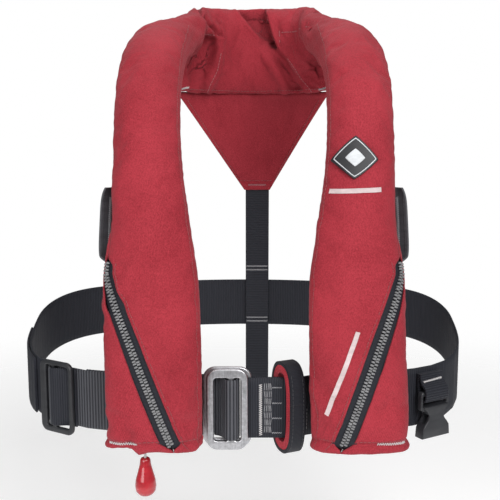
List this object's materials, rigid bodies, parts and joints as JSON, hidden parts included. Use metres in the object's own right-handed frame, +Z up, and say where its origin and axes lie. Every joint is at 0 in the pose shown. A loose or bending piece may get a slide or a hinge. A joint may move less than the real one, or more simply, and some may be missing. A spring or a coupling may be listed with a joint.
{
  "type": "inflatable life jacket",
  "caption": "Horseshoe inflatable life jacket with zipped lobes, back yoke, waist harness belt, steel buckle, soft tether loop, crotch clip and manual pull toggle",
  "frame": {"origin": "middle of the neck opening, level with the nape seam, where the jacket rests around the wearer's neck", "axes": "+Z up, -Y the front of the jacket, +X the wearer's left"},
  "size_m": [0.3963, 0.2925, 0.407],
  "materials": {
    "badge_rubber": "moulded patch",
    "becket_webbing": "woven webbing",
    "black_plastic": "moulded acetal, fine texture",
    "black_webbing": "ribbed polyester webbing",
    "bladder_fabric": "coated yellow fabric",
    "brass": "machined",
    "cord_white": "braided",
    "cylinder_paint": "green lacquer",
    "indicator_green": "clear green",
    "inflator_plastic": "moulded, fine texture",
    "lever_plastic": "moulded",
    "red_fabric": "woven nylon, satin sheen",
    "reflective_film": "glass-bead reflective film",
    "satin_steel": "brushed faces, polished edges",
    "seal_rubber": "smooth",
    "tab_rubber": "smooth matt",
    "toggle_plastic": "moulded, high gloss",
    "tube_rubber": "smooth matt",
    "whistle_plastic": "moulded",
    "white_plastic": "moulded, plain",
    "zip_tape": "woven tape",
    "zip_teeth": "moulded teeth"
  },
  "bodies": {
    "jacket": {"back_strap": "black_webbing", "back_yoke": "red_fabric", "badge_patch": "badge_rubber", "belt_back": "black_webbing", "belt_channel_left": "red_fabric", "belt_channel_right": "red_fabric", "belt_front_inner": "black_webbing", "belt_front_outer": "black_webbing", "belt_keeper_back": "black_webbing", "belt_tail": "black_webbing", "bladder": "bladder_fabric", "buckle_rear_frame": "satin_steel", "clip_tab": "black_webbing", "collar_inner": "red_fabric", "collar_outer": "red_fabric", "cover_back_left": "red_fabric", "cover_back_right": "red_fabric", "cover_front_left": "red_fabric", "cover_front_right": "red_fabric", "inflator_body": "inflator_plastic", "lever_bracket": "inflator_plastic", "lever_pin": "satin_steel", "lifting_becket": "becket_webbing", "manifold_nut": "brass", "neck_seal": "seal_rubber", "oral_tube": "tube_rubber", "oral_tube_flange": "tube_rubber", "pin_spring": "satin_steel", "reflective_patch_left": "reflective_film", "reflective_patch_right": "reflective_film", "side_adjuster": "black_plastic", "side_tab_left": "tab_rubber", "side_tab_right": "tab_rubber", "status_indicator": "indicator_green", "valve_spring": "satin_steel", "whistle": "whistle_plastic", "whistle_tether": "white_plastic", "zip_tape_back_left": "zip_tape", "zip_tape_back_right": "zip_tape", "zip_tape_front_left": "zip_tape", "zip_tape_front_right": "zip_tape", "zip_teeth_left": "zip_teeth", "zip_teeth_right": "zip_teeth"},
    "toggle": {"pull_toggle": "toggle_plastic", "pull_cord": "cord_white"},
    "lever": {"firing_lever": "lever_plastic"},
    "pin": {"piercing_pin": "satin_steel"},
    "cylinder": {"gas_cylinder": "cylinder_paint"},
    "cap": {"oral_tube_cap": "tube_rubber"},
    "poppet": {"oral_valve_poppet": "white_plastic"},
    "buckle_front": {"buckle_front_frame": "satin_steel", "belt_end_loop": "black_webbing"},
    "loop": {"soft_loop": "black_webbing", "soft_loop_lining": "red_fabric"},
    "clip": {"crotch_clip": "black_plastic"}
  },
  "joints": [
    {"name": "toggle_pull", "type": "slide", "parent": "jacket", "child": "toggle", "axis": [0, 0, -1], "range_m": [0, 0.008], "stiffness_N_per_m": 200},
    {"name": "lever_fire", "type": "hinge", "parent": "jacket", "child": "lever", "pos_m": [-0.078, -0.1515, -0.2722], "axis": [-1, 0, 0], "range_deg": [0, 46]},
    {"name": "pin_travel", "type": "slide", "parent": "jacket", "child": "pin", "axis": [0, 0, 1], "range_m": [0, 0.003], "deforming": ["pin_spring"]},
    {"name": "cylinder_unscrew", "type": "hinge", "parent": "jacket", "child": "cylinder", "pos_m": [-0.078, -0.143, -0.237], "axis": [0, 0.0549, 0.9985], "continuous": true},
    {"name": "cap_lift", "type": "slide", "parent": "jacket", "child": "cap", "axis": [0, 0, 1], "range_m": [0, 0.012]},
    {"name": "valve_press", "type": "slide", "parent": "jacket", "child": "poppet", "axis": [0, 0, -1], "range_m": [0, 0.003], "stiffness_N_per_m": 200, "deforming": ["valve_spring"]},
    {"name": "buckle_tilt", "type": "hinge", "parent": "jacket", "child": "buckle_front", "pos_m": [-0.038, -0.1238, -0.258], "axis": [0, 0, -1], "range_deg": [0, 35]},
    {"name": "loop_swivel", "type": "hinge", "parent": "jacket", "child": "loop", "pos_m": [0.0275, -0.1206, -0.258], "axis": [0, 0, 1], "range_deg": [-22, 3]},
    {"name": "clip_swing", "type": "hinge", "parent": "jacket", "child": "clip", "pos_m": [0.15029, -0.09582, -0.2562], "axis": [-0.8632, -0.5048, 0], "range_deg": [-5, 16]}
  ],
  "couplings": [
    {"joint": "lever_fire", "follows": "toggle_pull", "rad_per_m": 96},
    {"joint": "pin_travel", "follows": "toggle_pull", "ratio": 0.3}
  ]
}
